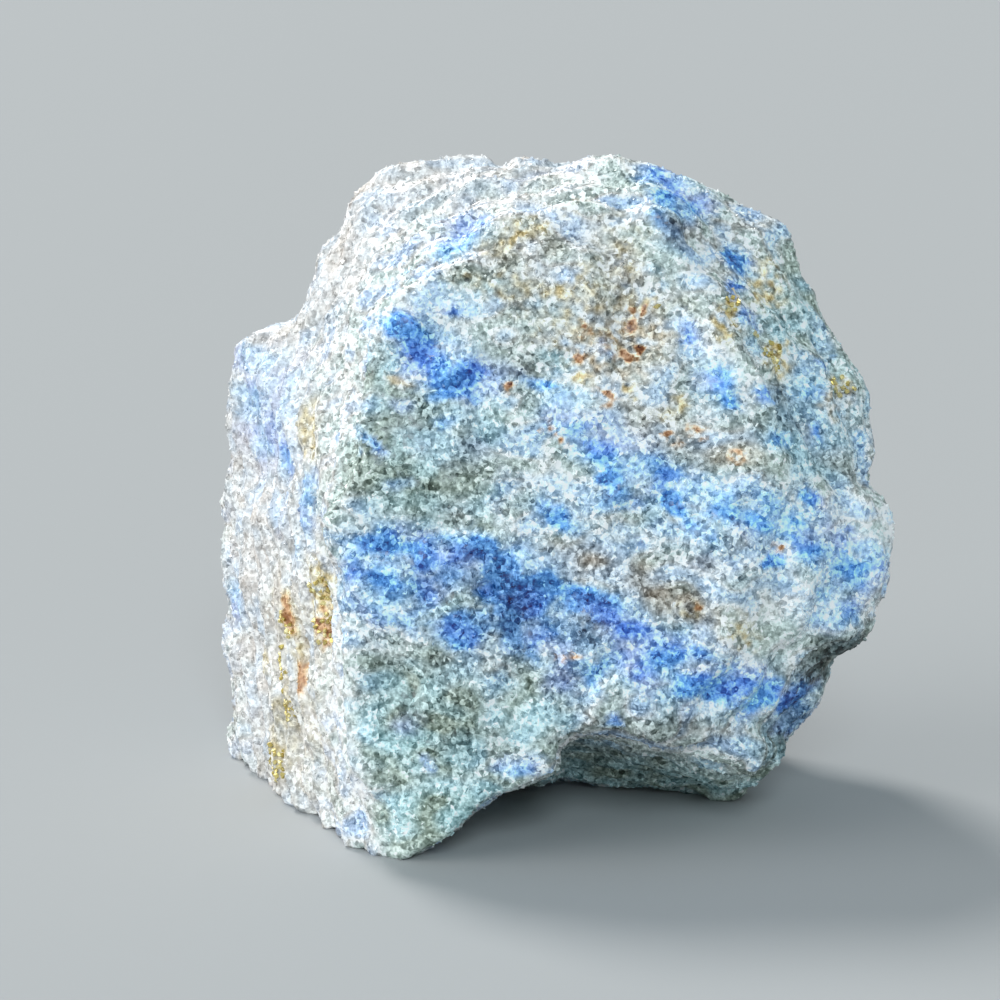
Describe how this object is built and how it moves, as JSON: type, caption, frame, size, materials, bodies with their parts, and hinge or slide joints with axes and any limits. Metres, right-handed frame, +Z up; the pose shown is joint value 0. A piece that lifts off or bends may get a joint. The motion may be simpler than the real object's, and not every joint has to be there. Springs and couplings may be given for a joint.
{
  "type": "rough lapis lazuli specimen",
  "caption": "Rough chunk of lapis lazuli, broken on every side, which stands on a flat break with an undercut at the front.",
  "frame": {"origin": "middle of the bounding box at the level that the stone stands on", "axes": "+Z up, +X to the right along the widest side, -Y towards the front, where the widest break faces"},
  "size_m": [0.065, 0.0468, 0.062],
  "materials": {
    "lapis_lazuli_rock": "matte"
  },
  "bodies": {
    "root": {"lapis_lazuli": "lapis_lazuli_rock"}
  },
  "joints": []
}
